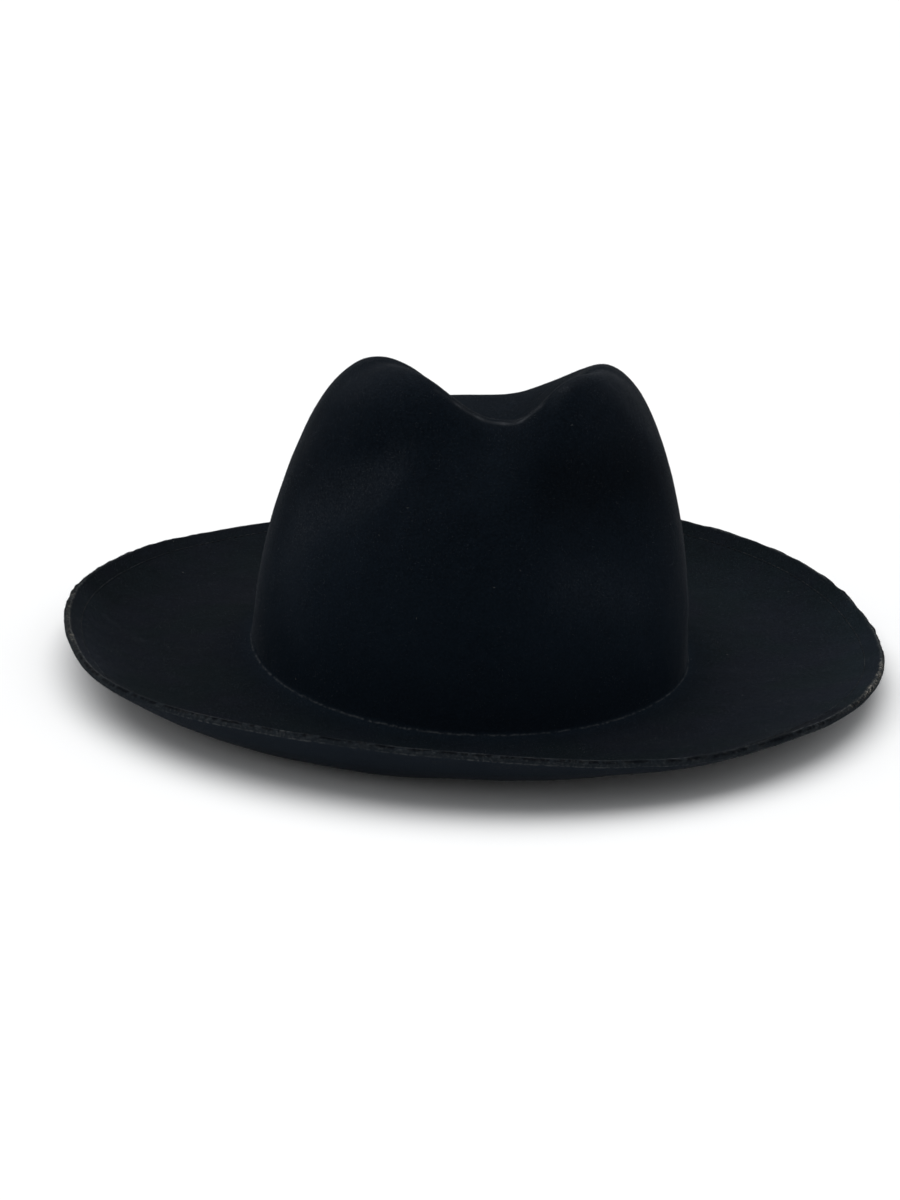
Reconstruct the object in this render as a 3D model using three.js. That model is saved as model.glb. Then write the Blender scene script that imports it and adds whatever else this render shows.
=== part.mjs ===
import * as THREE from 'three';

// Wide-brimmed felt hat, crown and brim pressed from one piece of felt with a raw-cut edge.
// Millimetres, +Z up, front of the hat towards -Y, right-hand side of the front view towards +X.
// It stands on the belly of its brim; the origin is the middle of its box, on the surface.

// Felt and head opening
const FELT = 2.8;
const HEAD_HALF_WIDTH = 85.3;
const HEAD_HALF_LENGTH = 104.5;

// Crown as blocked, before the crease and the dents are pressed in. Squareness 2 is a plain oval and more
// is boxier; upright below 1 keeps the wall steep for longer. The top falls from a share of the half
// length on, slowly at first.
const CROWN_HEIGHT = 146.2;
const BACK_DROP = 51.3;
const LEAN_DEG = 1;
const PLAN_SQUARENESS = 2.7;
const TOP_SQUARENESS = 1.76;
const FRONT_UPRIGHT = 0.7;
const BACK_UPRIGHT = 0.75;
const TOP_FALLS = { from: -0.5, softness: 1.5 };

// Crease along the top: a trough, narrow and shallow at the front notch, wide and deep in the middle.
// Squareness 2 is a bell and more has steeper flanks; skew is the share by which the left flank is wider
// and the right one narrower. Its line is offset and turned from the hat's middle, and bows sideways
// towards the front. Its run and its bow are shares of the half length. It bites only above a share of
// the crown's height.
const CREASE_FRONT_HALF_WIDTH = 20.2;
const CREASE_HALF_WIDTH = 36.5;
const CREASE_FRONT_DEPTH = 30;
const CREASE_DEPTH = 46.8;
const CREASE_SQUARENESS = 2.48;
const CREASE_SKEW = 0.137;
const CREASE_OFFSET = 6.5;
const CREASE_TURN_DEG = 6.5;
const CREASE_BOW = { share: -0.181, from: -0.1, to: -0.9 };
const CREASE_RUN = { start: -0.69, deep: -0.2, fading: 0.1, end: 1.02 };
const CREASE_BITES_ABOVE = 0.43;

// Soft swells that fill out the ridges on both sides of the crease. Side and wide are shares of the half
// width, front and long of the half length, high of the crown's height.
const RIDGE_SWELLS = [
  { side: 0.434, front: -0.191, wide: 0.117, long: 0.172, high: 0.0376 },
  { side: -0.293, front: -0.211, wide: 0.117, long: 0.115, high: 0.0103 },
];

// Two finger dents in the front of the crown. Places are shares of the half width, the half length and
// the crown's height; long and short are shares of its height, depth of the depth below. A dent acts on
// the felt near its own wall only, down to a share of the height behind it.
const DENT_DEPTH = 9.5;
const DENT_SKIN = { none: -0.38, full: -0.14 };
const DENTS = [
  { side: -0.54, front: -0.77, high: 0.60, long: 0.32, short: 0.12, depth: 1.00, tiltDeg: 33 },
  { side: 0.54, front: -0.77, high: 0.50, long: 0.22, short: 0.17, depth: 0.95, tiltDeg: 10 },
];

// Brim: one width all round; each section leaves the crown at dipDeg and ends at rimDeg,
// and the larger late is, the nearer to the edge it turns up
const BRIM_WIDTH = 76;
const BRIM_SECTIONS = [
  { dipDeg: -5, rimDeg: 29, late: 1.8 },
  { dipDeg: -8, rimDeg: 46, late: 2.0 },
  { dipDeg: -9, rimDeg: 38, late: 1.8 },
  { dipDeg: -8, rimDeg: 20, late: 2.2 },
  { dipDeg: -10, rimDeg: 20, late: 1.9 },
  { dipDeg: -11, rimDeg: 40, late: 2.2 },
  { dipDeg: -10, rimDeg: 53, late: 2.2 },
  { dipDeg: -9, rimDeg: 40, late: 1.6 },
  { dipDeg: -15, rimDeg: 52, late: 1.25 },
  { dipDeg: -7.5, rimDeg: 46, late: 1.3 },
  { dipDeg: 1, rimDeg: 30, late: 1.8 },
  { dipDeg: 2.5, rimDeg: 20, late: 1.6 },
];

// How the hat settles on a flat surface, and how far its soft belly is pressed flat there
const SETTLE_PITCH_DEG = 0.6;
const SETTLE_ROLL_DEG = 0.75;
const PRESSED = 1.2;

// Fineness of the mesh
const STEPS_ROUND = 72;
const CROWN_ROWS = 22;
const BRIM_ROWS = 15;

const rad = THREE.MathUtils.degToRad;
const mix = THREE.MathUtils.lerp;
const ease = (start, end, value) => THREE.MathUtils.smoothstep(value, start, end);
const bell = (value) => Math.exp(-value * value);

// Value of one column of the brim table at an angle round the hat: the sections lie at equal turns,
// starting on the +X side and going round by the back, joined by a Catmull-Rom curve.
function roundBrim(column, turn) {
  const count = BRIM_SECTIONS.length;
  const place = (turn / (2 * Math.PI)) * count;
  const base = Math.floor(place);
  const t = place - base;
  const [a, b, c, d] = [-1, 0, 1, 2].map((k) => BRIM_SECTIONS[(base + k + count) % count][column]);
  const bend = 2 * a - 5 * b + 4 * c - d;
  const twist = 3 * (b - c) + d - a;
  return b + 0.5 * t * (c - a + t * (bend + t * twist));
}

// Pushes a point of the crown inwards where a finger dent lies: a slanted oval bell on the wall,
// measured along and across its own axis, that fades before it reaches the far side of the crown.
function pressDent(point, dent) {
  const centre = new THREE.Vector3(
    dent.side * HEAD_HALF_WIDTH, dent.front * HEAD_HALF_LENGTH, dent.high * CROWN_HEIGHT);
  const out = new THREE.Vector3(dent.side / HEAD_HALF_WIDTH, dent.front / HEAD_HALF_LENGTH, 0).normalize();
  const level = new THREE.Vector3(-out.y, out.x, 0);
  const tilt = rad(dent.tiltDeg);
  const from = point.clone().sub(centre);
  const sideways = from.dot(level);
  const along = sideways * Math.cos(tilt) + from.z * Math.sin(tilt);
  const across = from.z * Math.cos(tilt) - sideways * Math.sin(tilt);
  const oval = bell(along / (dent.long * CROWN_HEIGHT)) * bell(across / (dent.short * CROWN_HEIGHT));
  const skin = ease(DENT_SKIN.none, DENT_SKIN.full, from.dot(out) / CROWN_HEIGHT);
  point.addScaledVector(out, -DENT_DEPTH * dent.depth * oval * skin);
}

// How far the crease goes down at a place on the crown, before its bite above the side walls.
function creaseDepth(x, y) {
  const run = y / HEAD_HALF_LENGTH;
  const growing = ease(CREASE_RUN.start, CREASE_RUN.deep, run);
  const fading = 1 - ease(CREASE_RUN.fading, CREASE_RUN.end, run);
  const bow = CREASE_BOW.share * HEAD_HALF_LENGTH * (1 - ease(CREASE_BOW.to, CREASE_BOW.from, run));
  const away = x - CREASE_OFFSET + y * Math.tan(rad(CREASE_TURN_DEG)) - bow;
  const skew = 1 - CREASE_SKEW * Math.tanh(away / (0.4 * CREASE_HALF_WIDTH));
  const halfWidth = mix(CREASE_FRONT_HALF_WIDTH, CREASE_HALF_WIDTH, growing) * skew;
  const depth = mix(CREASE_FRONT_DEPTH, CREASE_DEPTH, growing) * fading;
  return depth * Math.exp(-(Math.abs(away / halfWidth) ** CREASE_SQUARENESS));
}

// How far the swells raise the felt at a place on the crown.
function ridgeSwell(x, y) {
  return RIDGE_SWELLS.reduce((sum, swell) => {
    const across = (x / HEAD_HALF_WIDTH - swell.side) / swell.wide;
    const along = (y / HEAD_HALF_LENGTH - swell.front) / swell.long;
    return sum + swell.high * CROWN_HEIGHT * bell(across) * bell(along);
  }, 0);
}

// Outer surface of the crown: lift runs from 0 at the brim to 1 at the top. The wall follows a squared
// oval that closes over the top, the top falls towards the back, the ridges swell, and the crease and
// dents are pressed in.
function crownPoint(lift, turn) {
  const reach = Math.cos(lift * Math.PI / 2) ** (2 / PLAN_SQUARENESS);
  const rise = Math.sin(lift * Math.PI / 2) ** (2 / TOP_SQUARENESS);
  const upright = mix(FRONT_UPRIGHT, BACK_UPRIGHT, ease(-1, 1, Math.sin(turn)));
  const x = HEAD_HALF_WIDTH * Math.cos(turn) * reach;
  const y = HEAD_HALF_LENGTH * Math.sin(turn) * reach ** upright;
  const run = y / HEAD_HALF_LENGTH;
  const behind = Math.max(0, (run - TOP_FALLS.from) / (1 - TOP_FALLS.from));
  const block = (CROWN_HEIGHT - BACK_DROP * behind ** TOP_FALLS.softness) * rise;
  const bite = ease(CREASE_BITES_ABOVE, 1, rise);
  const z = block + (ridgeSwell(x, y) - creaseDepth(x, y)) * bite;
  const point = new THREE.Vector3(x + z * Math.tan(rad(LEAN_DEG)), y, z);
  DENTS.forEach((dent) => pressDent(point, dent));
  return point;
}

// Upper side of one brim section: a line of fixed length whose slope grows from dipDeg to rimDeg.
function brimSection(turn) {
  const dip = rad(roundBrim('dipDeg', turn));
  const rim = rad(roundBrim('rimDeg', turn));
  const late = roundBrim('late', turn);
  const foot = new THREE.Vector3(HEAD_HALF_WIDTH * Math.cos(turn), HEAD_HALF_LENGTH * Math.sin(turn), 0);
  const out = new THREE.Vector3(
    Math.cos(turn) / HEAD_HALF_WIDTH, Math.sin(turn) / HEAD_HALF_LENGTH, 0).normalize();
  const step = BRIM_WIDTH / BRIM_ROWS;
  const line = [];
  for (let row = 1; row <= BRIM_ROWS; row += 1) {
    const slope = mix(dip, rim, ((row - 0.5) / BRIM_ROWS) ** late);
    foot.addScaledVector(out, step * Math.cos(slope));
    foot.z += step * Math.sin(slope);
    line.push(foot.clone());
  }
  return line;
}

// Outer sheet of the felt: the apex first, then one ring after another out to the edge of the brim.
function outerSheet() {
  const turns = Array.from({ length: STEPS_ROUND }, (_, i) => (i / STEPS_ROUND) * 2 * Math.PI);
  const sheet = [crownPoint(1, 0)];
  for (let row = CROWN_ROWS - 1; row >= 0; row -= 1) {
    turns.forEach((turn) => sheet.push(crownPoint(row / CROWN_ROWS, turn)));
  }
  const sections = turns.map(brimSection);
  for (let row = 0; row < BRIM_ROWS; row += 1) {
    sections.forEach((line) => sheet.push(line[row]));
  }
  return sheet;
}

// Triangles of a sheet laid out as an apex and rings, seen from outside.
function sheetFaces(rings) {
  const faces = [];
  for (let i = 0; i < STEPS_ROUND; i += 1) {
    const j = (i + 1) % STEPS_ROUND;
    faces.push(0, 1 + i, 1 + j);
    for (let ring = 0; ring < rings - 1; ring += 1) {
      const near = 1 + ring * STEPS_ROUND;
      const far = near + STEPS_ROUND;
      faces.push(near + i, far + i, far + j, near + i, far + j, near + j);
    }
  }
  return faces;
}

// The felt as one closed wall: outer sheet, inner sheet one felt thickness inside it, and the cut edge.
function feltBody() {
  const settle = new THREE.Euler(rad(SETTLE_PITCH_DEG), rad(SETTLE_ROLL_DEG), 0);
  const outer = outerSheet().map((point) => point.applyEuler(settle));
  const rings = CROWN_ROWS + BRIM_ROWS;
  const faces = sheetFaces(rings);
  const skin = new THREE.BufferGeometry().setFromPoints(outer);
  skin.setIndex(faces);
  skin.computeVertexNormals();
  const normals = skin.getAttribute('normal');
  const inner = outer.map((point, i) => {
    const out = new THREE.Vector3().fromBufferAttribute(normals, i);
    return point.clone().addScaledVector(out, -FELT);
  });

  // Felt below the surface is pressed up to it; the upper side keeps the wall's thickness.
  const rest = Math.min(...inner.map((point) => point.z)) + PRESSED;
  inner.forEach((point) => { point.z = Math.max(point.z, rest); });
  outer.forEach((point) => { point.z = Math.max(point.z, rest + FELT); });

  const count = outer.length;
  const edge = count - STEPS_ROUND;
  const wall = [...faces];
  for (let k = 0; k < faces.length; k += 3) {
    wall.push(count + faces[k], count + faces[k + 2], count + faces[k + 1]);
  }
  for (let i = 0; i < STEPS_ROUND; i += 1) {
    const a = edge + i;
    const b = edge + (i + 1) % STEPS_ROUND;
    wall.push(a, count + a, count + b, a, count + b, b);
  }
  const geometry = new THREE.BufferGeometry().setFromPoints([...outer, ...inner]);
  geometry.setIndex(wall);
  geometry.computeBoundingBox();
  const box = geometry.boundingBox;
  geometry.translate(-(box.min.x + box.max.x) / 2, -(box.min.y + box.max.y) / 2, -rest);
  geometry.computeVertexNormals();
  return geometry;
}

const blackFelt = new THREE.MeshStandardMaterial({ color: 0x0d0f12, roughness: 0.95, metalness: 0 });

const hat = new THREE.Group();
const felt = new THREE.Mesh(feltBody(), blackFelt);
felt.name = 'felt_body';
hat.add(felt);

export default hat;
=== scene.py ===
import math

import bpy
import numpy as np
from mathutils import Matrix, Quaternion, Vector


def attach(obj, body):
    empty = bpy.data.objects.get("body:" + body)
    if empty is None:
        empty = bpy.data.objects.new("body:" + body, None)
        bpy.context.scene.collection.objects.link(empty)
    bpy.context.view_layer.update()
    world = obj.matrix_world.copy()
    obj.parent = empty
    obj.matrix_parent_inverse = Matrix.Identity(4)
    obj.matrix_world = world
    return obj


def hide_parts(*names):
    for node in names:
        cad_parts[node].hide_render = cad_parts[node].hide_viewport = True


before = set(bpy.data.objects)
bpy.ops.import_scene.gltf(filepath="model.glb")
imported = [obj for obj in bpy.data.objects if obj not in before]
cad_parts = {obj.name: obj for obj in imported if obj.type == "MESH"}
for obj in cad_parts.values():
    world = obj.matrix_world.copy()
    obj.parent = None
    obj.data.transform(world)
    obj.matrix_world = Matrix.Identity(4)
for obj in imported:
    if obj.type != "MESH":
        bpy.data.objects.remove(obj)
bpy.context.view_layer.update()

# Wide-brimmed black felt hat with a creased, dented crown and a raw-cut brim.
# Lengths are millimetres until they go into a mesh. +Z is up and the hat's front is towards -Y.

MM = 0.001

# The hat's own sizes, as in the solid
FELT = 2.8
HEAD_HALF_WIDTH = 85.3
HEAD_HALF_LENGTH = 104.5
CROWN_HEIGHT = 146.2
BACK_DROP = 51.3
LEAN_DEG = 1
PLAN_SQUARENESS = 2.7
TOP_SQUARENESS = 1.76
FRONT_UPRIGHT = 0.7
BACK_UPRIGHT = 0.75
TOP_FALLS_FROM = -0.5
TOP_FALLS_SOFTNESS = 1.5
CREASE_FRONT_HALF_WIDTH = 20.2
CREASE_HALF_WIDTH = 36.5
CREASE_FRONT_DEPTH = 30
CREASE_DEPTH = 46.8
CREASE_SQUARENESS = 2.48
CREASE_SKEW = 0.137
CREASE_SKEW_REACH = 0.4
CREASE_OFFSET = 6.5
CREASE_TURN_DEG = 6.5
CREASE_BOW, CREASE_BOW_FROM, CREASE_BOW_TO = -0.181, -0.1, -0.9
CREASE_START, CREASE_DEEP, CREASE_FADING, CREASE_END = -0.69, -0.2, 0.1, 1.02
CREASE_BITES_ABOVE = 0.43
RIDGE_SWELLS = [
    dict(side=0.434, front=-0.191, wide=0.117, long=0.172, high=0.0376),
    dict(side=-0.293, front=-0.211, wide=0.117, long=0.115, high=0.0103),
]
DENT_DEPTH = 9.5
DENT_NONE, DENT_FULL = -0.38, -0.14
DENTS = [
    dict(side=-0.54, front=-0.77, high=0.60, long=0.32, short=0.12, depth=1.00, tilt=33),
    dict(side=0.54, front=-0.77, high=0.50, long=0.22, short=0.17, depth=0.95, tilt=10),
]
BRIM_WIDTH = 76
BRIM_DIP = [-5, -8, -9, -8, -10, -11, -10, -9, -15, -7.5, 1, 2.5]
BRIM_RIM = [29, 46, 38, 20, 20, 40, 53, 40, 52, 46, 30, 20]
BRIM_LATE = [1.8, 2.0, 1.8, 2.2, 1.9, 2.2, 2.2, 1.6, 1.25, 1.3, 1.8, 1.6]
SETTLE_PITCH_DEG = 0.6
SETTLE_ROLL_DEG = 0.75
PRESSED = 1.2

# The photograph's view: where the optical axis meets the hat, the camera's place about it, its lens and
# sensor, and how near and far it sees in metres
VIEW_POINT = (-9.5, 0, 22.6)
VIEW_DISTANCE = 1400
VIEW_AZIMUTH_DEG = -2.99
VIEW_ELEVATION_DEG = 17.6
VIEW_ROLL_DEG = 1.65
VIEW_LENS = 107.3
VIEW_SENSOR = 36
VIEW_NEAREST, VIEW_FARTHEST = 0.05, 60

# Soft lights: name, energy, spread, and how far from overhead towards the front and the right, in degrees
SOFT_LIGHTS = [
    ("overhead", 2.1, 80, -12, -8),
    ("left_side", 0.25, 50, 10, -56),
    ("right_side", 0.18, 50, 0, 60),
]
SURROUND_COLOUR = (0.97, 0.985, 1.0, 1)
SURROUND_STRENGTH = 0.46
FLOOR_HALF = 14000
FLOOR_PATCHES = 900
FLOOR_TONES = (0.88, 0.88, 0.88, 1), (0.91, 0.91, 0.91, 1)

# Fineness of the meshes. The crown's rows crowd towards its top by a power
STEPS_ROUND = 600
CROWN_ROWS = 62
CROWN_CROWDING = 1.35
BREAK_ROWS = 6
BRIM_ROWS = 30
BRIM_STEPS = 304
EDGE_ROWS = 9
INNER_BRIM_ROWS = 18
INNER_CROWN_ROWS = 24
THREAD_SIDES = 6
STITCH_STEPS = 7
LINT_STEPS = 9

# Finer forms of the felt
BREAK_ROUND = 2.2
EDGE_SWELL = 0.25
EDGE_SQUARENESS = 5
CORNER_ROUND = 0.45
RIDGE_REACH = 3.5
STITCH_INSET = 7.0
STITCH_GROOVE = 0.12
STITCH_GROOVE_HALF_WIDTH = 0.8
STITCH_PITCH = 3.3
STITCH_FROM, STITCH_TO = 0.08, 0.92
THREAD_RADIUS = 0.2
THREAD_ARCH, THREAD_SUNK = 1.5, 0.75
TUBE_TIP = 0.02

# Extra rows: about the stitches, in half widths of their groove, and in from the brim's edge
ROWS_AT_STITCHES = [2, 1, 0.5, 0, -0.5, -1, -2]
ROWS_AT_EDGE = [4.2, 3.0, 2.0, 1.2, CORNER_ROUND]
STITCHES_CLEAR = 4

# Relief of handled felt and of its cut edge: wavelength, seed and height of each sum of waves
FELT_RELIEF = [(55, 11, 0.24), (22, 12, 0.08), (9, 13, 0.025)]
EDGE_RELIEF = [(14, 21, 0.16), (5.5, 22, 0.13)]
RELIEF_WAVES = 28
RELIEF_SPREAD = (0.7, 1.4)

# Strokes of painted light and shade, each between two places on the felt: painted highlights and shade on the
# dents, peaks and crease, painted shade on the right cut edge, and more dust specks where lightened. Tone 1
# is well lightened and -1 well darkened, out to about its half width
PAINTED_LIGHT_SHADE_STROKES = [
    dict(start=(-66, -45, 68), end=(-38, -66, 92), half_width=15, tone=0.75),
    dict(start=(-75, -42, 52), end=(-69, -60, 34), half_width=14, tone=0.35),
    dict(start=(-58, -36, 105), end=(-43, -60, 104), half_width=9, tone=-0.45),
    dict(start=(-22, -78, 97), end=(-40, -79, 74), half_width=7, tone=-0.45),
    dict(start=(22, -84, 96), end=(61, -47, 90), half_width=16, tone=-0.6),
    dict(start=(29, -91, 56), end=(55, -74, 48), half_width=13, tone=0.42),
    dict(start=(44, -40, 121), end=(64, -35, 99), half_width=11, tone=0.9),
    dict(start=(-52, -34, 114), end=(-31, -50, 125), half_width=14, tone=0.62),
    dict(start=(34, -50, 124), end=(50, -36, 120), half_width=15, tone=0.5),
    dict(start=(0, 40, 90), end=(20, 38, 94), half_width=20, tone=0.5),
    dict(start=(-145, 18, 9), end=(-129, 2, 4), half_width=1.5, tone=0.8),
    # Painted shade on the right cut edge
    dict(start=(128, -102, 14), end=(102, -134, 16), half_width=4, tone=-0.7),
    dict(start=(102, -134, 16), end=(70, -161, 17), half_width=4, tone=-0.7),
]

# The same for dusty worn spots on the edge
WORN = [
    dict(start=(155, -48, 14), end=(145, -78, 15), half_width=8, tone=1.0),
    dict(start=(143, -80, 15), end=(130, -104, 15), half_width=7, tone=0.5),
    dict(start=(-158, 16, 18), end=(-154, -38, 19), half_width=8, tone=0.6),
    dict(start=(-154, -40, 19), end=(-141, -82, 17), half_width=7, tone=0.35),
    dict(start=(158, 35, 10), end=(156, -35, 13), half_width=7, tone=0.35),
]

# The same for a painted highlight along the notch's sharp rim
PAINTED_RIM_HIGHLIGHT = [
    dict(start=(-20, -60.5, 122), end=(-12, -60, 116.5), half_width=1.7, tone=0.35),
    dict(start=(-12, -60, 116.5), end=(-4, -59, 111.5), half_width=1.8, tone=0.45),
    dict(start=(-4, -59, 111.5), end=(5, -60, 109.8), half_width=1.8, tone=0.5),
    dict(start=(5, -60, 109.8), end=(12, -63.5, 112.2), half_width=1.8, tone=0.5),
    dict(start=(12, -63.5, 112.2), end=(19, -67, 118), half_width=1.8, tone=0.45),
    dict(start=(19, -67, 118), end=(27, -65, 125), half_width=1.7, tone=0.35),
]

# The same where the brim and its edges are lightened: painted light, with more dust specks and a paler corner
PAINTED_LIGHT_AND_DUST = [
    dict(start=(112, -85, 2), end=(122, 70, 5), half_width=46, tone=0.6),
    dict(start=(148, -70, 14), end=(158, 25, 10), half_width=18, tone=0.75),
    dict(start=(-154, 20, 18), end=(-146, -60, 18), half_width=14, tone=0.85),
]

# Loose fibres: how many, how long and thick they are, how they lean in radians, and the seeds of their
# places and shapes. A fibre is sunk by some of its radii and stays clear of the floor
NAP_FIBRES = 44000
NAP_LENGTH = 0.85
NAP_SEEDS = [(41, 51), (42, 52)]
EDGE_FIBRES = 36000
EDGE_LENGTH = 0.7
EDGE_SEEDS = (43, 53)
FIBRE_RADIUS = 0.022
FIBRE_LEAN = (0.3, 1.35)
FIBRE_SHORTEST = 0.35
FIBRE_SHORTENING = 1.5
FIBRE_SUNK = 3
FIBRE_CLEAR = 0.02

# Lint: how many bits, half their length, how much they curl and twist, how high they lie, and their seed
LINT_BITS = 60
LINT_REACH = (0.2, 0.6)
LINT_CURL = 0.6
LINT_TWIST = 0.4
LINT_RISE = 0.12
LINT_RADIUS = 0.035
LINT_SEED = 61

# Colours of the felt, and the dark and light tone of each piece that lies on it
# The crown's felt is darker than the brim's: painted shade on the crown's walls of one felt body
CROWN_FELT = (0.0028, 0.0047, 0.0073, 1)
BRIM_FELT = (0.0037, 0.0058, 0.0074, 1), (0.0042, 0.0055, 0.0080, 1)
# The underside's felt is lighter than the upper side's: painted light from the floor
PAINTED_LIGHT_UNDER_FELT = (0.0072, 0.0102, 0.0146, 1), (0.0094, 0.0128, 0.0176, 1)
# Grey blended in where light is painted along the strokes: painted highlight
PAINTED_LIGHT_NAP = (0.0130, 0.0150, 0.0180, 1)
CAUGHT_DUST = (0.034, 0.036, 0.040, 1)
# Pale tone of the painted highlight on sharp ridges and along the notch's rim
RIM_HIGHLIGHT_FELT = (0.034, 0.037, 0.042, 1)
# Tone of the thin pale broken line in the break
PALE_BREAK_LINE = (0.042, 0.046, 0.050, 1)
TORN_FELT = (0.0088, 0.0115, 0.0145, 1)
# Dark patches of painted shade on the cut face
CUT_FACE_PAINTED_SHADE = (0.0012, 0.0018, 0.0030, 1)
TORN_SPECK = (0.040, 0.044, 0.046, 1)
SHADED_EDGE = (0.0016, 0.0022, 0.0034, 1)
# Pale upper corner of the cut edge: dust and painted highlight
CORNER_DUST_AND_HIGHLIGHT = (0.060, 0.064, 0.066, 1)
CHAFED_FELT = (0.200, 0.188, 0.166, 1)
THREAD_TONES = (0.0040, 0.0055, 0.0075, 1), (0.022, 0.025, 0.028, 1)
# The loose fibres are paler than the felt: painted sheen where they stand out at the silhouettes
NAP_TONES_PAINTED_SHEEN = (0.030, 0.034, 0.040, 1), (0.110, 0.115, 0.125, 1)
FUZZ_TONES = (0.012, 0.014, 0.016, 1), (0.060, 0.056, 0.050, 1)
LINT_TONES = (0.05, 0.05, 0.05, 1), (0.20, 0.20, 0.19, 1)


def place_camera():
    """Camera at the photograph's angle: a point on a sphere about the view point, turned about its own
    axis."""
    azimuth, elevation = math.radians(VIEW_AZIMUTH_DEG), math.radians(VIEW_ELEVATION_DEG)
    back = Vector((
        math.sin(azimuth) * math.cos(elevation),
        -math.cos(azimuth) * math.cos(elevation),
        math.sin(elevation),
    ))
    data = bpy.data.cameras.new("camera")
    data.lens = VIEW_LENS
    data.sensor_width = VIEW_SENSOR
    data.clip_start, data.clip_end = VIEW_NEAREST, VIEW_FARTHEST
    camera = bpy.data.objects.new("camera", data)
    camera.location = (Vector(VIEW_POINT) + back * VIEW_DISTANCE) * MM
    camera.rotation_mode = "QUATERNION"
    roll = Quaternion((0, 0, 1), math.radians(VIEW_ROLL_DEG))
    camera.rotation_quaternion = (-back).to_track_quat("-Z", "Y") @ roll
    bpy.context.collection.objects.link(camera)
    bpy.context.scene.camera = camera


def mix(low, high, share):
    """The value a share of the way from low to high."""
    return low + (high - low) * share


def ease(start, end, value):
    """Smooth step from 0 at start to 1 at end."""
    t = np.clip((value - start) / (end - start), 0, 1)
    return t * t * (3 - 2 * t)


def bell(value):
    """Exponential bell: 1 at 0, falling off on both sides."""
    return np.exp(-value * value)


def unit(vectors):
    """Vectors scaled to length 1."""
    return vectors / np.linalg.norm(vectors, axis=-1, keepdims=True)


def round_brim(column, turn):
    """A column of the brim's sections at each turn: equal turns joined by a Catmull-Rom curve."""
    values = np.array(column, float)
    place = turn / (2 * np.pi) * len(values)
    base = np.floor(place).astype(int)
    t = place - base
    a, b, c, d = (values[(base + k) % len(values)] for k in (-1, 0, 1, 2))
    return b + 0.5 * t * (c - a + t * (2 * a - 5 * b + 4 * c - d + t * (3 * (b - c) + d - a)))


def press_dent(points, dent):
    """Points pushed inwards by a slanted oval bell on the wall, which fades behind the wall's own felt."""
    centre = np.array([
        dent["side"] * HEAD_HALF_WIDTH, dent["front"] * HEAD_HALF_LENGTH, dent["high"] * CROWN_HEIGHT])
    out = unit(np.array([dent["side"] / HEAD_HALF_WIDTH, dent["front"] / HEAD_HALF_LENGTH, 0]))
    level = np.array([-out[1], out[0], 0])
    tilt = math.radians(dent["tilt"])
    away = points - centre
    sideways = away @ level
    along = sideways * math.cos(tilt) + away[..., 2] * math.sin(tilt)
    across = away[..., 2] * math.cos(tilt) - sideways * math.sin(tilt)
    oval = bell(along / (dent["long"] * CROWN_HEIGHT)) * bell(across / (dent["short"] * CROWN_HEIGHT))
    skin = ease(DENT_NONE, DENT_FULL, away @ out / CROWN_HEIGHT)
    return points - out * (DENT_DEPTH * dent["depth"] * oval * skin)[..., None]


def crease_depth(x, y):
    """Depth of the crease at a place on the crown, before its bite above the side walls: a squared bell
    across a line that turns and bows, widening and deepening behind the front notch, fading to the back."""
    run = y / HEAD_HALF_LENGTH
    growing = ease(CREASE_START, CREASE_DEEP, run)
    bow = CREASE_BOW * HEAD_HALF_LENGTH * (1 - ease(CREASE_BOW_TO, CREASE_BOW_FROM, run))
    away = x - CREASE_OFFSET + y * math.tan(math.radians(CREASE_TURN_DEG)) - bow
    skew = 1 - CREASE_SKEW * np.tanh(away / (CREASE_SKEW_REACH * CREASE_HALF_WIDTH))
    half_width = mix(CREASE_FRONT_HALF_WIDTH, CREASE_HALF_WIDTH, growing) * skew
    depth = mix(CREASE_FRONT_DEPTH, CREASE_DEPTH, growing) * (1 - ease(CREASE_FADING, CREASE_END, run))
    return depth * np.exp(-np.abs(away / half_width) ** CREASE_SQUARENESS)


def ridge_swell(x, y):
    """Height added at a place on the crown: an oval bell for each swell on the ridges beside the crease."""
    total = 0
    for swell in RIDGE_SWELLS:
        across = (x / HEAD_HALF_WIDTH - swell["side"]) / swell["wide"]
        along = (y / HEAD_HALF_LENGTH - swell["front"]) / swell["long"]
        total = total + swell["high"] * CROWN_HEIGHT * bell(across) * bell(along)
    return total


def crown_points(lift, turn):
    """Outer crown: a squared oval that closes over the top from lift 0 at the brim to lift 1.

    The top falls towards the back, the crease is taken off its height, the whole crown leans a little
    sideways, and the dents are pressed in last."""
    reach = np.cos(lift * np.pi / 2).clip(0) ** (2 / PLAN_SQUARENESS)
    rise = np.sin(lift * np.pi / 2) ** (2 / TOP_SQUARENESS)
    upright = mix(FRONT_UPRIGHT, BACK_UPRIGHT, ease(-1, 1, np.sin(turn)))
    x = HEAD_HALF_WIDTH * np.cos(turn) * reach
    y = HEAD_HALF_LENGTH * np.sin(turn) * reach ** upright
    run = y / HEAD_HALF_LENGTH
    behind = np.maximum(0, (run - TOP_FALLS_FROM) / (1 - TOP_FALLS_FROM))
    block = (CROWN_HEIGHT - BACK_DROP * behind ** TOP_FALLS_SOFTNESS) * rise
    z = block + (ridge_swell(x, y) - crease_depth(x, y)) * ease(CREASE_BITES_ABOVE, 1, rise)
    points = np.stack([x + z * math.tan(math.radians(LEAN_DEG)), y, z], axis=-1)
    for dent in DENTS:
        points = press_dent(points, dent)
    return points


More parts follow.
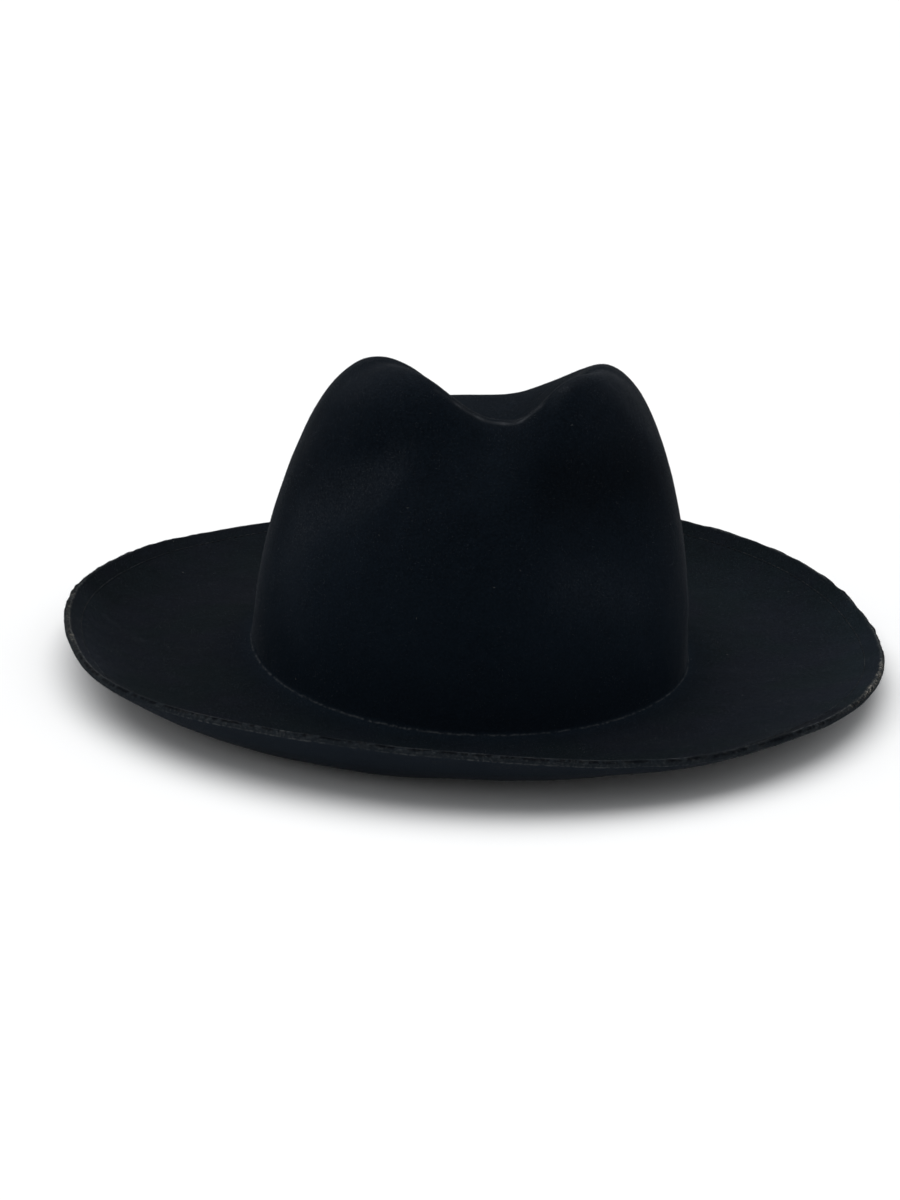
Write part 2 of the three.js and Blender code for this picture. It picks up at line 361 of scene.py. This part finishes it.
def brim_points(distance, turn):
    """Upper side of the brim at distances from the crown: each section is a line whose slope grows from its
    dip to its rim angle, integrated in fine steps and read off at each distance."""
    share = (np.arange(BRIM_STEPS) + 0.5) / BRIM_STEPS
    dip, rim = (np.radians(round_brim(c, turn[0])) for c in (BRIM_DIP, BRIM_RIM))
    late = round_brim(BRIM_LATE, turn[0])
    slope = dip + (rim - dip) * share[:, None] ** late
    step = BRIM_WIDTH / BRIM_STEPS
    start = np.zeros((1, slope.shape[1]))
    reach = np.vstack([start, np.cumsum(step * np.cos(slope), axis=0)])
    climb = np.vstack([start, np.cumsum(step * np.sin(slope), axis=0)])
    place = distance[:, :1] / step
    low = np.minimum(place.astype(int), BRIM_STEPS - 1)
    part = place - low
    columns = np.arange(slope.shape[1])[None, :]
    far = mix(reach[low, columns], reach[low + 1, columns], part)
    high = mix(climb[low, columns], climb[low + 1, columns], part)
    out = unit(np.stack([np.cos(turn) / HEAD_HALF_WIDTH, np.sin(turn) / HEAD_HALF_LENGTH, 0 * turn], axis=-1))
    foot = np.stack([HEAD_HALF_WIDTH * np.cos(turn), HEAD_HALF_LENGTH * np.sin(turn), high], axis=-1)
    return foot + out * far[..., None]


def ripple(points, wavelength, seed):
    """Smooth random relief of about -1 to 1: plane waves of about one wavelength, in random directions."""
    draw = np.random.default_rng(seed)
    direction = unit(draw.normal(size=(RELIEF_WAVES, 3)))
    pace = 2 * np.pi / (wavelength * draw.uniform(*RELIEF_SPREAD, (RELIEF_WAVES, 1)))
    phase = draw.uniform(0, 2 * np.pi, RELIEF_WAVES)
    return np.sin(points @ (direction * pace).T + phase).sum(axis=-1) * math.sqrt(1 / RELIEF_WAVES)


def ripples(grid, table):
    """Sum of the table's ripples, each times its height, at the points of a grid."""
    points = grid.reshape(-1, 3)
    total = np.zeros(len(points))
    for wavelength, seed, height in table:
        total += ripple(points, wavelength, seed) * height
    return total.reshape(grid.shape[:2])


def settle(points):
    """Points turned by the pitch about X after the roll about Y, as the hat settles on a flat surface."""
    pitch, roll = math.radians(SETTLE_PITCH_DEG), math.radians(SETTLE_ROLL_DEG)
    about_x = np.array([
        [1, 0, 0], [0, math.cos(pitch), -math.sin(pitch)], [0, math.sin(pitch), math.cos(pitch)]])
    about_y = np.array([
        [math.cos(roll), 0, math.sin(roll)], [0, 1, 0], [-math.sin(roll), 0, math.cos(roll)]])
    return points @ (about_x @ about_y).T


def outer_grid():
    """The felt's outer side, smooth: rows from near the crown's top down, round the break and out over the
    brim, and columns all round. Gives points, outward normals, and each row's distance out from the break."""
    turns = np.arange(STEPS_ROUND) / STEPS_ROUND * 2 * np.pi
    low = math.asin((BREAK_ROUND / CROWN_HEIGHT) ** (TOP_SQUARENESS / 2)) * 2 / np.pi
    even = np.arange(1, CROWN_ROWS + 1) / CROWN_ROWS
    lifts = mix(1, low, even ** CROWN_CROWDING)
    stitches = STITCH_INSET + STITCH_GROOVE_HALF_WIDTH * np.array(ROWS_AT_STITCHES)
    field = np.linspace(BREAK_ROUND, BRIM_WIDTH - STITCH_INSET - STITCHES_CLEAR, BRIM_ROWS)
    distances = np.concatenate([field, BRIM_WIDTH - stitches, BRIM_WIDTH - np.array(ROWS_AT_EDGE)])

    lift, turn = np.meshgrid(lifts, turns, indexing="ij")
    crown = crown_points(lift, turn)
    distance, brim_turn = np.meshgrid(distances, turns, indexing="ij")
    brim = brim_points(distance, brim_turn)
    corner = np.stack(
        [HEAD_HALF_WIDTH * np.cos(turns), HEAD_HALF_LENGTH * np.sin(turns), 0 * turns], axis=-1)[None]
    t = (np.arange(1, BREAK_ROWS) / BREAK_ROWS)[:, None, None]
    fillet = (1 - t) ** 2 * crown[-1:] + 2 * t * (1 - t) * corner + t ** 2 * brim[:1]

    points = settle(np.concatenate([crown, fillet, brim]))
    out_from_break = np.concatenate([
        -np.linalg.norm(crown - corner, axis=-1).mean(axis=1),
        np.linspace(-BREAK_ROUND, BREAK_ROUND, BREAK_ROWS + 1)[1:-1],
        distances,
    ])
    down = np.gradient(points, axis=0)
    around = np.roll(points, -1, axis=1) - np.roll(points, 1, axis=1)
    normals = unit(np.cross(down, around))
    return points, normals, out_from_break


def fill_mesh(name, points, faces):
    """A smooth-shaded mesh object in metres from an array of points in millimetres and arrays of faces."""
    mesh = bpy.data.meshes.new(name)
    corners = [np.asarray(f, np.int32).reshape(-1, f.shape[-1]) for f in faces]
    sizes = np.concatenate([np.full(len(f), f.shape[-1], np.int32) for f in corners])
    loops = np.concatenate([f.ravel() for f in corners])
    mesh.vertices.add(len(points))
    mesh.vertices.foreach_set("co", (points * MM).astype(np.float32).ravel())
    mesh.loops.add(len(loops))
    mesh.loops.foreach_set("vertex_index", loops)
    mesh.polygons.add(len(sizes))
    mesh.polygons.foreach_set("loop_start", np.concatenate([[0], np.cumsum(sizes)[:-1]]).astype(np.int32))
    mesh.update(calc_edges=True)
    mesh.validate()
    mesh.shade_smooth()
    piece = bpy.data.objects.new(name, mesh)
    bpy.context.collection.objects.link(piece)
    return piece


def set_attribute(piece, name, values):
    """A value for each point of a piece, which its finish reads by name."""
    attribute = piece.data.attributes.new(name, "FLOAT", "POINT")
    attribute.data.foreach_set("value", np.asarray(values, np.float32).ravel())


def strip_faces(rows, columns):
    """Quads of a grid that closes on itself round the columns."""
    row = np.arange(rows - 1)[:, None] * columns
    near = np.arange(columns)[None, :]
    far = (near + 1) % columns
    quads = np.stack([row + near, row + columns + near, row + columns + far, row + far], axis=-1)
    return quads.reshape(-1, 4)


def cap_faces(apex, first, turned):
    """Triangles between an apex and a ring of the felt whose points start at a number, turned over or not."""
    ring = np.arange(STEPS_ROUND)
    near, far = first + ring, first + (ring + 1) % STEPS_ROUND
    if turned:
        near, far = far, near
    return np.stack([np.full(STEPS_ROUND, apex), near, far], axis=-1)


def sharpness(points, normals):
    """How far each point of a grid stands out, in millimetres, over the mean of its neighbours about
    RIDGE_REACH away along the rows and down the columns: above 0 on ridges, below 0 in hollows."""
    stand = np.zeros(points.shape[:2])
    down = np.linalg.norm(np.diff(points, axis=0), axis=2).mean(axis=1)
    depth = np.concatenate([[0], np.cumsum(down)])
    rows = np.arange(len(points))
    above = np.interp(depth - RIDGE_REACH, depth, rows).round().astype(int)
    below = np.interp(depth + RIDGE_REACH, depth, rows).round().astype(int)
    around = np.linalg.norm(np.roll(points, -1, axis=1) - points, axis=2).mean(axis=1)
    steps = np.clip((RIDGE_REACH / around).round().astype(int), 1, STEPS_ROUND // 4)
    for row in rows:
        near = np.roll(points[row], steps[row], axis=0) + np.roll(points[row], -steps[row], axis=0)
        mean = (near + points[above[row]] + points[below[row]]) / 4
        stand[row] = ((points[row] - mean) * normals[row]).sum(axis=1)
    return stand


def strokes(points, table):
    """Sum of the table's tones at each point, each falling off as a bell with the distance from its line."""
    total = np.zeros(len(points))
    for stroke in table:
        start, end = np.array(stroke["start"], float), np.array(stroke["end"], float)
        along = end - start
        share = np.clip((points - start) @ along / (along @ along), 0, 1)
        away = np.linalg.norm(points - start - share[:, None] * along, axis=1)
        total += stroke["tone"] * bell(away / stroke["half_width"])
    return total


def cut_edge(points, top, bottom):
    """Rows of the cut edge from the upper corner to the lower: they swell outwards as a parabola, with a
    random relief that makes them bumpy, and both fade at the corners."""
    outwards = unit(points[-1] - points[-2])
    t = np.linspace(0, 1, EDGE_ROWS + 2)[1:-1][:, None, None]
    face = mix(top[None], bottom[None], t)
    swell = CORNER_ROUND + EDGE_SWELL * (1 - (2 * t - 1) ** 2)
    square = 1 - np.abs(2 * t - 1) ** EDGE_SQUARENESS
    middle = face + outwards[None] * (swell * square)
    return middle + outwards[None] * (ripples(middle, EDGE_RELIEF) * square[..., 0])[..., None]


def set_down(every, lowest, outer_count):
    """Points set down on the surface and centred, as the solid is: the belly is pressed flat there, with
    the outer side, whose points come first, one felt thickness up."""
    every[:, 2] -= lowest + PRESSED
    every[:, :2] -= (every[:, :2].min(axis=0) + every[:, :2].max(axis=0)) / 2
    surface = np.where(np.arange(len(every)) < outer_count, FELT, 0)
    every[:, 2] = np.maximum(every[:, 2], surface)
    return every


def mark_felt(piece, every, out_from_break, kept_rows, ridge):
    """What the finish reads: distance out from the break, where the cut edge's face is, how far each row is
    from the outer side (0) to the inner side (1), sharp ridges, and the strokes' tones of painted light and
    shade, painted rim highlight, wear, and painted light with dust."""
    outer_rows, inner_rows = np.zeros(len(out_from_break)), np.zeros(len(kept_rows))
    edge_shares = np.linspace(0, 1, EDGE_ROWS + 2)[1:-1]
    past_edge = np.full(EDGE_ROWS, BRIM_WIDTH + 0.5)

    def spread(*stretches):
        """A value for each row, given to its whole ring and, from the end rows, to the two apexes."""
        values = np.concatenate(stretches)
        return np.concatenate([np.repeat(values, STEPS_ROUND), [values[0], values[-1]]])

    inside = spread(outer_rows, edge_shares, inner_rows + 1)
    set_attribute(piece, "from_break", spread(out_from_break, past_edge, out_from_break[kept_rows]))
    set_attribute(piece, "cut_face", spread(outer_rows, np.ones(EDGE_ROWS), inner_rows))
    set_attribute(piece, "inside", inside)
    set_attribute(piece, "ridge", ridge)
    set_attribute(piece, "painted_light_shade", strokes(every, PAINTED_LIGHT_SHADE_STROKES) * (1 - inside))
    set_attribute(piece, "painted_rim_highlight", strokes(every, PAINTED_RIM_HIGHLIGHT) * (1 - inside))
    set_attribute(piece, "worn", strokes(every, WORN))
    set_attribute(piece, "painted_light_and_dust", strokes(every, PAINTED_LIGHT_AND_DUST))


def felt_body():
    """The felt as one closed wall: outer side with the relief of handled felt and the stitches' groove, cut
    edge, and inner side one felt thickness further in."""
    points, normals, out_from_break = outer_grid()
    relief = ripples(points, FELT_RELIEF)
    groove = STITCH_GROOVE * bell((out_from_break - BRIM_WIDTH + STITCH_INSET) / STITCH_GROOVE_HALF_WIDTH)
    outer = points + normals * (relief - groove[:, None])[..., None]
    inner_all = points - normals * (FELT - relief[..., None])

    # Inner rows, from the edge back to the top
    brim_rows = np.linspace(CROWN_ROWS + BREAK_ROWS - 1, len(points) - 1, INNER_BRIM_ROWS)
    crown_rows = np.linspace(0, CROWN_ROWS - 1, INNER_CROWN_ROWS)
    kept_rows = np.unique(np.concatenate([crown_rows, brim_rows]).round().astype(int))[::-1]
    inner = inner_all[kept_rows]

    # The apex of each side lies at the mean of its first ring
    grid = np.concatenate([outer, cut_edge(points, outer[-1], inner[0]), inner])
    apexes = np.stack([outer[0].mean(axis=0), inner[-1].mean(axis=0)])
    every = np.concatenate([grid.reshape(-1, 3), apexes])
    outer_count, grid_count = len(outer) * STEPS_ROUND, len(grid) * STEPS_ROUND
    every = set_down(every, (points - normals * FELT)[..., 2].min(), outer_count)

    quads = strip_faces(len(grid), STEPS_ROUND)
    cap_out = cap_faces(grid_count, 0, False)
    cap_in = cap_faces(grid_count + 1, grid_count - STEPS_ROUND, True)
    piece = fill_mesh("felt_hat", every, [quads, cap_out, cap_in])
    ridge = np.zeros(len(every))
    ridge[:outer_count] = sharpness(points, normals).ravel()
    mark_felt(piece, every, out_from_break, kept_rows, ridge)

    seam_row = int(np.argmin(np.abs(out_from_break - BRIM_WIDTH + STITCH_INSET)))
    parts = dict(
        points=every, quads=quads, row=np.arange(len(quads)) // STEPS_ROUND, outer=len(outer),
        seam=every[seam_row * STEPS_ROUND:(seam_row + 1) * STEPS_ROUND], seam_normals=normals[seam_row])
    return piece, parts


def scatter(points, quads, count, seed, share):
    """Random places on quads, spread evenly by area times a share for each quad: a quad is split in two
    triangles, and a place in a triangle is its first corner plus random shares of its two sides."""
    draw = np.random.default_rng(seed)
    triangles = np.concatenate([quads[:, [0, 1, 2]], quads[:, [0, 2, 3]]])
    a, b, c = (points[triangles[:, k]] for k in range(3))
    across = np.cross(b - a, c - a)
    size = np.linalg.norm(across, axis=1)
    weight = size * np.tile(share, 2)
    pick = draw.choice(len(triangles), count, p=weight / weight.sum())
    u, v = draw.random(count), draw.random(count)
    u, v = np.where(u + v > 1, 1 - u, u), np.where(u + v > 1, 1 - v, v)
    places = a[pick] + (b - a)[pick] * u[:, None] + (c - a)[pick] * v[:, None]
    return places, across[pick] / size[pick, None]


def sideways_frame(normals, seed):
    """Two unit directions at right angles to each normal, turned by a random angle about it."""
    draw = np.random.default_rng(seed)
    helper = unit(draw.normal(size=normals.shape))
    u = unit(np.cross(normals, helper))
    return u, np.cross(normals, u)


def fibres(name, roots, normals, length, seed):
    """Short hairs, each a closed spike of four faces: a tiny triangle sunk in the felt and a tip that
    leans away from the normal by a random angle, at a random share of the length."""
    draw = np.random.default_rng(seed)
    count = len(roots)
    u, v = sideways_frame(normals, seed + 1)
    lean = draw.uniform(*FIBRE_LEAN, count)[:, None]
    tall = (length * draw.uniform(FIBRE_SHORTEST, 1.0, count) ** FIBRE_SHORTENING)[:, None]
    tip = roots + (normals * np.cos(lean) + u * np.sin(lean)) * tall
    sunk = roots - normals * (FIBRE_SUNK * FIBRE_RADIUS)
    angle = np.arange(3) / 3 * 2 * np.pi
    ring = sunk[:, None] + FIBRE_RADIUS * (
        u[:, None] * np.cos(angle)[:, None] + v[:, None] * np.sin(angle)[:, None])
    corners = np.concatenate([ring, tip[:, None]], axis=1)
    corners[..., 2] = np.maximum(corners[..., 2], FIBRE_CLEAR)
    spike = np.array([[0, 1, 3], [1, 2, 3], [2, 0, 3], [0, 2, 1]])
    faces = spike[None] + 4 * np.arange(count)[:, None, None]
    return fill_mesh(name, corners.reshape(-1, 3), [faces.reshape(-1, 3)])


def closed_tubes(name, lines, normals, radius):
    """Tubes along many lines of points at once, tapering to a point at both ends. The section is a circle
    across each line, set up from the line's own direction and its normals."""
    count, steps, _ = lines.shape
    sides = THREAD_SIDES
    forward = unit(np.gradient(lines, axis=1))
    up = unit(normals - forward * (normals * forward).sum(axis=-1, keepdims=True))
    right = np.cross(forward, up)
    angle = np.arange(sides) / sides * 2 * np.pi
    taper = np.sqrt(np.clip(1 - np.linspace(-1, 1, steps) ** 4, TUBE_TIP, 1))
    circle = up[:, :, None] * np.sin(angle)[:, None] + right[:, :, None] * np.cos(angle)[:, None]
    rings = lines[:, :, None] + circle * (radius * taper)[None, :, None, None]
    own = steps * sides
    quads = strip_faces(steps, sides)[:, ::-1]
    ends = np.stack([np.arange(sides), own - 1 - np.arange(sides)])
    offset = own * np.arange(count)[:, None, None]
    return fill_mesh(name, rings.reshape(-1, 3), [
        (quads[None] + offset).reshape(-1, 4), (ends[None] + offset).reshape(-1, sides)])


def stitch_row(name, seam, normals):
    """A row of stitches along a closed seam: equal pitches by length, each thread a low arch that dips
    into the felt at both ends."""
    closed = np.vstack([seam, seam[:1]])
    length = np.concatenate([[0], np.cumsum(np.linalg.norm(np.diff(closed, axis=0), axis=1))])
    count = int(round(length[-1] / STITCH_PITCH))
    t = np.linspace(STITCH_FROM, STITCH_TO, STITCH_STEPS)
    place = (np.arange(count)[:, None] + t[None]) * length[-1] / count

    def read(table):
        """The seam's table of vectors, read off at the places."""
        columns = [np.append(table[:, k], table[0, k]) for k in range(3)]
        return np.stack([np.interp(place, length, column) for column in columns], axis=-1)

    line, up = read(seam), unit(read(normals))
    rounded = np.sin(np.linspace(0, np.pi, STITCH_STEPS)) ** 0.5
    arch = THREAD_RADIUS * (THREAD_ARCH * rounded - THREAD_SUNK)
    return closed_tubes(name, line + up * arch[None, :, None], up, THREAD_RADIUS)


def lint_bits(parts, seed):
    """Loose threads of lint on the upper side: each lies along a random curved line just above the felt."""
    draw = np.random.default_rng(seed)
    share = (parts["row"] < parts["outer"] - 2).astype(float)
    roots, normals = scatter(parts["points"], parts["quads"], LINT_BITS, seed, share)
    u, v = sideways_frame(normals, seed + 1)
    t = np.linspace(-1, 1, LINT_STEPS)[None, :, None]
    reach = draw.uniform(*LINT_REACH, LINT_BITS)[:, None, None]
    curl = draw.uniform(-LINT_CURL, LINT_CURL, LINT_BITS)[:, None, None]
    twist = draw.uniform(-LINT_TWIST, LINT_TWIST, LINT_BITS)[:, None, None]
    rise = LINT_RISE + LINT_RISE * (1 - t * t)
    line = roots[:, None] + reach * (u[:, None] * t + v[:, None] * (curl * t * t + twist * t ** 3))
    line = line + normals[:, None] * rise
    return closed_tubes("lint", line, np.broadcast_to(normals[:, None], line.shape), LINT_RADIUS)


class Socket:
    """An output socket of a finish. Arithmetic on it adds Math nodes."""

    def __init__(self, finish, output):
        self.finish = finish
        self.output = output

    def maths(self, operation, *terms):
        return self.finish.node("Math", {"operation": operation}, dict(enumerate(terms)))

    def __add__(self, other):
        return self.maths("ADD", self, other)

    def __sub__(self, other):
        return self.maths("SUBTRACT", self, other)

    def __rsub__(self, other):
        return self.maths("SUBTRACT", other, self)

    def __mul__(self, other):
        return self.maths("MULTIPLY", self, other)

    def __truediv__(self, other):
        return self.maths("DIVIDE", self, other)

    def __rtruediv__(self, other):
        return self.maths("DIVIDE", other, self)

    __radd__ = __add__
    __rmul__ = __mul__


class Finish:
    """A material made of nodes, with one Principled shader."""

    def __init__(self, name):
        self.material = bpy.data.materials.new(name)
        self.material.use_nodes = True
        self.nodes = self.material.node_tree.nodes
        self.links = self.material.node_tree.links
        self.shader = self.nodes["Principled BSDF"]

    def put(self, node, inputs):
        for key, value in inputs.items():
            if isinstance(value, Socket):
                self.links.new(value.output, node.inputs[key])
            else:
                node.inputs[key].default_value = value

    def node(self, kind, settings=None, inputs=None, output=0):
        node = self.nodes.new("ShaderNode" + kind)
        for key, value in (settings or {}).items():
            setattr(node, key, value)
        self.put(node, inputs or {})
        return Socket(self, node.outputs[output])

    def surface(self, **inputs):
        """Values and links of the shader's sockets, whose names are written with _ for a space."""
        self.put(self.shader, {key.replace("_", " "): value for key, value in inputs.items()})

    def place(self):
        return self.node("TexCoord", output="Object")

    def attribute(self, name):
        return self.node("Attribute", {"attribute_name": name}, output="Fac")

    def noise(self, vector, size_mm, detail=2.0, rough=0.5):
        """Noise whose lumps are about this size, between 0 and 1."""
        return self.node(
            "TexNoise", None,
            {"Vector": vector, "Scale": 1 / (size_mm * MM), "Detail": detail, "Roughness": rough}, "Fac")

    def step(self, value, start, end):
        """Smooth step from 0 at start to 1 at end."""
        return self.node(
            "MapRange", {"interpolation_type": "SMOOTHSTEP"},
            {"Value": value, "From Min": start, "From Max": end})

    def bell(self, value, centre, width):
        """Exponential bell of the value about a centre."""
        off = (value - centre) / width
        return self.node("Math", {"operation": "POWER"}, {0: math.e, 1: off * off * -1})

    def blend(self, share, low, high):
        """The colour a share of the way from low to high."""
        return self.node("Mix", {"data_type": "RGBA"}, {0: share, 6: low, 7: high}, 2)

    def bump(self, height, depth_mm, strength, normal=None):
        """Normals bent by a height of 0 to 1 times a depth, on top of other bent normals if any."""
        inputs = {"Height": height, "Distance": depth_mm * MM, "Strength": strength}
        if normal is not None:
            inputs["Normal"] = normal
        return self.node("Bump", None, inputs, "Normal")


class Felt(Finish):
    """Near-black wool felt: blue-black crown painted darker than the brim as painted shade, a slightly dusty
    brim, painted light and shade along strokes, painted highlights on ridges, worn and broken edge.
    """

    def __init__(self):
        """What the colours are mixed by: attributes of the mesh, and noises from broad to fine."""
        super().__init__("black_felt")
        self.run = self.attribute("from_break")
        self.inside = self.attribute("inside")
        self.painted_light_and_dust = self.attribute("painted_light_and_dust")
        painted_light_shade = self.attribute("painted_light_shade")
        # Painted light where the strokes' tone is above 0, painted shade (sunk) where it is below
        self.painted_light = self.step(painted_light_shade, 0, 1)
        self.sunk = self.step(painted_light_shade * -1, 0, 1)
        self.spot = self.place()
        self.patches = self.noise(self.spot, 38, 3.0)
        self.mottle = self.noise(self.spot, 7, 4.0, 0.6)
        self.wobble = self.noise(self.spot, 2.2, 3.0, 0.6) - 0.5
        self.fibre = self.noise(self.spot, 0.9, 3.0, 0.65)
        self.grain = self.step(self.fibre, 0.3, 0.7)

    def scraps(self, size_mm, start, end, rough=0.75):
        """Ragged scraps: a noise of about this size, stepped from 0 to 1 between two of its values."""
        return self.step(self.noise(self.spot, size_mm, 4.0, rough), start, end)

    def crown_and_brim(self):
        """Blue-black crown painted darker than the brim as painted shade, a brim of two slow tones, mottled,
        with painted light towards the crown's foot and on the brim, and painted light and shade along the
        strokes.
        """
        brim = self.blend(self.step(self.patches, 0.4, 0.6), *BRIM_FELT)
        # Painted shade: the crown takes the darker crown felt, the brim the lighter
        base = self.blend(self.step(self.run, -6, 20), CROWN_FELT, brim)
        # Painted light: the crown is lightened towards its foot
        painted_light_low_crown = self.step(self.run, -75, -8) * (1 - self.step(self.run, -3, 8))
        shade = 0.38 + self.patches * 0.3 + self.mottle * 0.54 + self.grain * 0.56 + painted_light_low_crown * 0.65
        # Painted shade (sunk) and painted light along the strokes, and painted light on the brim
        shade = shade * (1 - self.sunk * 0.5) * (1 + self.painted_light * 0.4) * (1 + self.painted_light_and_dust * 0.75)
        base = self.node("VectorMath", {"operation": "SCALE"}, {0: base, "Scale": shade})
        return self.blend(self.painted_light * (0.12 + self.grain * 0.4), base, PAINTED_LIGHT_NAP)

    def dust_and_highlights(self, base):
        """Pale specks caught in the nap, thick where light is painted along the strokes, painted highlights
        on sharp ridges and along the notch's rim, and a thin pale broken line in the break."""
        on_brim = self.step(self.run, 0, 20) * (0.10 + self.painted_light_and_dust * 0.10)
        caught = self.scraps(0.8, 0.54, 0.68) * (0.07 + self.painted_light * 0.45 + on_brim)
        base = self.blend(caught, base, CAUGHT_DUST)
        # Painted highlights on sharp ridges and along the notch's rim
        ridges = self.step(self.attribute("ridge"), 0.36, 0.8) * (1 - self.step(self.run, -20, -8))
        painted_rim_highlight = ridges * 0.22 + self.step(self.attribute("painted_rim_highlight"), 0, 1) * 0.8
        base = self.blend(painted_rim_highlight * (0.3 + self.mottle * 0.8 + self.grain * 0.6), base, RIM_HIGHLIGHT_FELT)
        line = self.bell(self.run + self.wobble * 1.6, -0.2, 0.45) * self.scraps(1.8, 0.38, 0.62)
        return self.blend(line * 0.8, base, PALE_BREAK_LINE)

    def raw_edge(self, base):
        """Underside painted lighter as painted light, and a fibrous cut face with dark patches of painted
        shade and pale specks, darkened on the right by painted shade, a pale broken upper corner of dust and
        painted highlight, and chafed dusty spots."""
        # Painted light on the underside
        base = self.blend(self.inside, base, self.blend(self.patches, *PAINTED_LIGHT_UNDER_FELT))
        # Dark patches of painted shade on the cut face
        shade_patches = self.bell(self.inside, 0.32, 0.26) * self.scraps(2.8, 0.42, 0.52, 0.65)
        torn = self.blend(shade_patches, TORN_FELT, CUT_FACE_PAINTED_SHADE)
        torn = self.blend(self.step(self.fibre, 0.54, 0.68) * (1 - shade_patches) * 0.5, torn, TORN_SPECK)
        # Painted shade darkens the cut face on the right
        torn = self.blend(self.sunk * 0.75, torn, SHADED_EDGE)
        base = self.blend(self.attribute("cut_face"), base, torn)

        # Dust and painted highlight along the upper corner, less under painted shade, more under painted
        # light with dust
        corner = self.scraps(1.7, 0.40, 0.58) * self.bell(self.run + self.wobble * 1.2, BRIM_WIDTH - 0.2, 0.5)
        corner = corner * (0.35 + self.step(self.patches, 0.40, 0.56))
        corner = corner * (1 - self.sunk * 0.75) * (0.55 + self.painted_light_and_dust * 0.35)
        base = self.blend(corner, base, CORNER_DUST_AND_HIGHLIGHT)

        chafed = self.step(self.attribute("worn"), 0.15, 1.0) * self.scraps(1.1, 0.50, 0.58, 0.8)
        chafed = chafed * self.step(self.run + self.wobble * 2, BRIM_WIDTH - 1.6, BRIM_WIDTH - 0.4)
        chafed = chafed * (1 - self.step(self.inside, 0.3, 0.7))
        chafed = chafed * (0.25 + self.step(self.mottle, 0.44, 0.60) * 0.65)
        return self.blend(chafed, base, CHAFED_FELT)

    def relief(self):
        """Normals bent by hairs, fibres and mottling, from fine to broad."""
        nap = self.bump(self.noise(self.spot, 0.35, 2.0, 0.6), 0.12, 0.55)
        nap = self.bump(self.fibre, 0.22, 0.7, nap)
        return self.bump(self.mottle, 0.35, 0.5, nap)


def felt_finish():
    """The hat's own finish: very rough, with a faint bluish sheen."""
    felt = Felt()
    base = felt.raw_edge(felt.dust_and_highlights(felt.crown_and_brim()))
    felt.surface(
        Base_Color=base, Roughness=0.86 + felt.mottle * 0.12, Normal=felt.relief(),
        Specular_IOR_Level=0.02, Sheen_Weight=0.05, Sheen_Roughness=0.16, Sheen_Tint=(0.90, 0.93, 1.0, 1))
    return felt.material


def floor_and_light():
    """A wide pale floor, wide soft lights from above and both sides, and a dim surround."""
    floor = Finish("pale_floor")
    tone = floor.blend(floor.noise(floor.place(), FLOOR_PATCHES, 1.0), *FLOOR_TONES)
    floor.surface(Base_Color=tone, Roughness=0.9, Specular_IOR_Level=0.1)
    corners = np.array([[-1, -1, 0], [1, -1, 0], [1, 1, 0], [-1, 1, 0]]) * float(FLOOR_HALF)
    ground = fill_mesh("floor", corners, [np.array([[0, 1, 2, 3]])])
    ground.data.materials.append(floor.material)

    world = bpy.data.worlds.new("surround")
    world.use_nodes = True
    surround = world.node_tree.nodes["Background"]
    surround.inputs["Color"].default_value = SURROUND_COLOUR
    surround.inputs["Strength"].default_value = SURROUND_STRENGTH
    bpy.context.scene.world = world

    for name, energy, spread, from_front, from_right in SOFT_LIGHTS:
        light = bpy.data.lights.new(name, "SUN")
        light.energy = energy
        light.angle = math.radians(spread)
        lamp = bpy.data.objects.new(name, light)
        lamp.rotation_euler = (math.radians(from_front), math.radians(from_right), 0)
        bpy.context.collection.objects.link(lamp)


def plain_finish(name, tones, size_mm, roughness):
    """A finish of a dark and a light tone mottled at one size."""
    finish = Finish(name)
    share = finish.step(finish.noise(finish.place(), size_mm, 3.0), 0.40, 0.66)
    finish.surface(Base_Color=finish.blend(share, *tones), Roughness=roughness, Specular_IOR_Level=0.1)
    return finish.material


def dress(piece, finish):
    """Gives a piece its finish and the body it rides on."""
    piece.data.materials.append(finish)
    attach(piece, "root")


place_camera()
hat, parts = felt_body()
dress(hat, felt_finish())
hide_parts("felt_body")

thread = plain_finish("black_thread", THREAD_TONES, 7, 0.8)
dress(stitch_row("edge_stitches", parts["seam"], parts["seam_normals"]), thread)

# Pale loose fibres: painted sheen at the silhouettes
nap = plain_finish("loose_nap_painted_sheen", NAP_TONES_PAINTED_SHEEN, 9, 0.95)
fuzz = plain_finish("edge_fibre", FUZZ_TONES, 9, 0.95)
upper = (parts["row"] < parts["outer"] - 1).astype(float)
edge_first, edge_last = parts["outer"] - 2, parts["outer"] + EDGE_ROWS + 1
edge = ((parts["row"] >= edge_first) & (parts["row"] <= edge_last)).astype(float)
for number, (place_seed, shape_seed) in enumerate(NAP_SEEDS, 1):
    roots, outward = scatter(parts["points"], parts["quads"], NAP_FIBRES, place_seed, upper)
    dress(fibres(f"nap_{number}", roots, outward, NAP_LENGTH, shape_seed), nap)
place_seed, shape_seed = EDGE_SEEDS
roots, outward = scatter(parts["points"], parts["quads"], EDGE_FIBRES, place_seed, edge)
dress(fibres("edge_fuzz", roots, outward, EDGE_LENGTH, shape_seed), fuzz)
dress(lint_bits(parts, LINT_SEED), plain_finish("pale_lint", LINT_TONES, 4, 0.9))
floor_and_light()

bpy.context.scene.view_settings.view_transform = "Standard"
